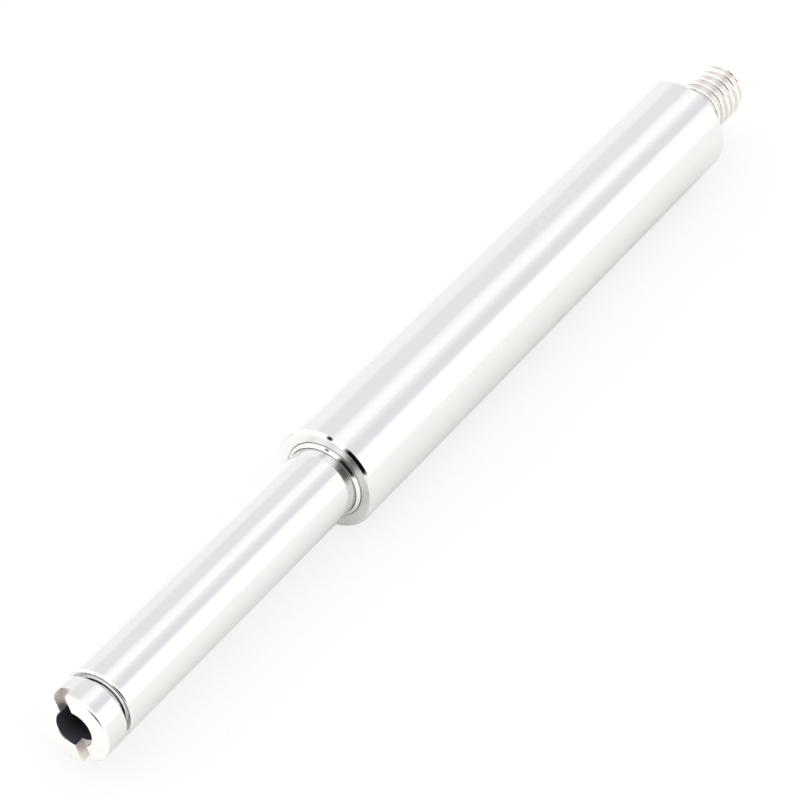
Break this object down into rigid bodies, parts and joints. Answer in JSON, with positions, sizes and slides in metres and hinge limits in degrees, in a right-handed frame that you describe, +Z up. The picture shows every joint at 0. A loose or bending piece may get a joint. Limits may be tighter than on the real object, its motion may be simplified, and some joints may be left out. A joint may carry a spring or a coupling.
{
  "type": "enclosed ball screw unit",
  "caption": "Polished steel barrel with a sliding rod that a ball screw inside drives in and out when the threaded stud at its rear end is turned.",
  "frame": {"origin": "centre of the flat end face of the threaded drive stud, on the unit's axis", "axes": "+X along the unit's axis from the stud to the nose of the rod; +Z up as the unit lies; +Y completes the frame"},
  "size_m": [0.1762, 0.0164, 0.0164],
  "materials": {
    "polished_steel": "mirror-polished stainless steel",
    "ground_steel": "ground bearing steel",
    "dark_steel": "black-oxide steel",
    "bronze": "sintered bearing bronze",
    "seal_rubber": "black nitrile rubber",
    "polyamide": "natural polyamide"
  },
  "bodies": {
    "barrel": {"barrel_tube": "polished_steel", "guide_bush": "bronze", "rod_seal": "seal_rubber", "rod_scraper": "polished_steel", "front_bumper": "polyamide", "rear_bumper": "polyamide", "rear_housing": "ground_steel", "shaft_seal": "seal_rubber", "bearing_clamp_ring": "dark_steel", "bearing_outer_ring": "ground_steel"},
    "bearing_cage": {"bearing_cage": "polyamide", "bearing_ball_1": "ground_steel", "bearing_ball_2": "ground_steel", "bearing_ball_3": "ground_steel", "bearing_ball_4": "ground_steel", "bearing_ball_5": "ground_steel", "bearing_ball_6": "ground_steel", "bearing_ball_7": "ground_steel", "bearing_ball_8": "ground_steel"},
    "screw": {"screw_shaft": "ground_steel", "drive_stud": "polished_steel", "drive_key": "dark_steel", "bearing_inner_ring": "ground_steel", "tip_bush": "polyamide", "tip_circlip": "dark_steel"},
    "rod": {"rod_tube": "polished_steel", "nose_plug": "polished_steel", "ball_nut": "ground_steel", "return_insert_1": "polyamide", "return_insert_2": "polyamide", "nut_wiper": "polyamide", "rod_lock_pin": "dark_steel", "guide_key_left": "bronze", "guide_key_right": "bronze", "nut_ball_01": "ground_steel", "nut_ball_02": "ground_steel", "nut_ball_03": "ground_steel", "nut_ball_04": "ground_steel", "nut_ball_05": "ground_steel", "nut_ball_06": "ground_steel", "nut_ball_07": "ground_steel", "nut_ball_08": "ground_steel", "nut_ball_09": "ground_steel", "nut_ball_10": "ground_steel", "nut_ball_11": "ground_steel", "nut_ball_12": "ground_steel", "nut_ball_13": "ground_steel", "nut_ball_14": "ground_steel", "nut_ball_15": "ground_steel", "nut_ball_16": "ground_steel", "nut_ball_17": "ground_steel", "nut_ball_18": "ground_steel", "nut_ball_19": "ground_steel", "nut_ball_20": "ground_steel"}
  },
  "joints": [
    {"name": "screw_spin", "type": "hinge", "parent": "barrel", "child": "screw", "pos_m": [0.0206, 0, 0], "axis": [1, 0, 0], "range_deg": [-361, 4861]},
    {"name": "rod_slide", "type": "slide", "parent": "barrel", "child": "rod", "axis": [1, 0, 0], "range_m": [-0.054, 0.004]},
    {"name": "bearing_cage_spin", "type": "hinge", "parent": "barrel", "child": "bearing_cage", "pos_m": [0.0199, 0, 0], "axis": [1, 0, 0], "range_deg": [-136, 1825]}
  ],
  "couplings": [
    {"joint": "screw_spin", "follows": "rod_slide", "rad_per_m": -1570.8},
    {"joint": "bearing_cage_spin", "follows": "rod_slide", "rad_per_m": -589.05}
  ]
}
